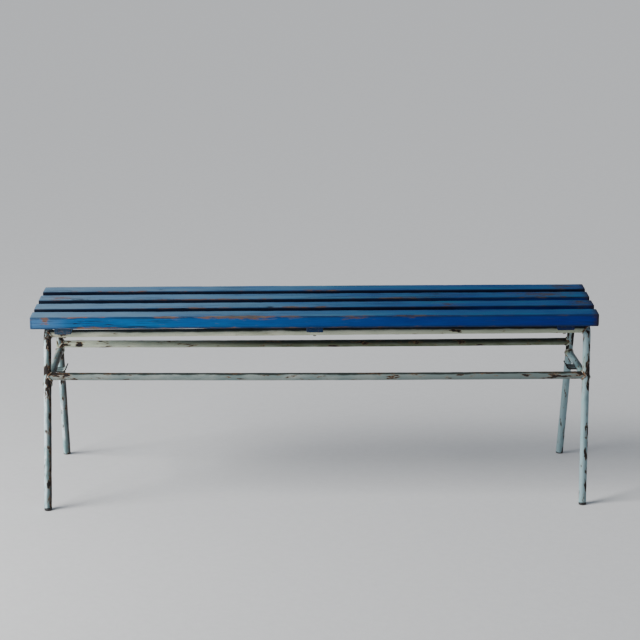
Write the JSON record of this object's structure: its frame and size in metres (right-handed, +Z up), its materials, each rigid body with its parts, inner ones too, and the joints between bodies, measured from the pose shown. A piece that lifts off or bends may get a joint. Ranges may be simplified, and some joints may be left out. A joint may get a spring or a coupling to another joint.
{
  "type": "backless bench",
  "caption": "Backless slatted bench: painted wooden slats on cleats over a welded frame of bent steel tube with raked legs and long rails.",
  "frame": {"origin": "on the floor under the middle of the seat", "axes": "+X along the seat to the right, +Y from front to rear, +Z up"},
  "size_m": [1.3, 0.4206, 0.445],
  "materials": {
    "slat_paint": "worn blue paint over softwood",
    "cleat_paint": "blue paint over softwood",
    "hoop_paint": "chipped pale blue paint over steel tube",
    "rail_paint": "chipped grey green paint over steel tube",
    "weld_steel": "painted weld bead, rusty at its edges",
    "screw_steel": "dull steel, stained by rust",
    "foot_plug": "worn black rubber"
  },
  "bodies": {
    "root": {"front_slat": "slat_paint", "mid_front_slat": "slat_paint", "mid_rear_slat": "slat_paint", "rear_slat": "slat_paint", "left_cleat": "cleat_paint", "middle_cleat": "cleat_paint", "right_cleat": "cleat_paint", "left_hoop": "hoop_paint", "right_hoop": "hoop_paint", "front_top_rail": "rail_paint", "rear_top_rail": "rail_paint", "front_lower_rail": "rail_paint", "rear_lower_rail": "rail_paint", "left_strut": "hoop_paint", "right_strut": "hoop_paint", "left_hook": "hoop_paint", "right_hook": "hoop_paint", "left_front_foot": "foot_plug", "left_rear_foot": "foot_plug", "right_front_foot": "foot_plug", "right_rear_foot": "foot_plug", "slat_screws": "screw_steel", "frame_screws": "screw_steel", "rail_welds": "weld_steel", "strut_welds": "weld_steel"}
  },
  "joints": []
}
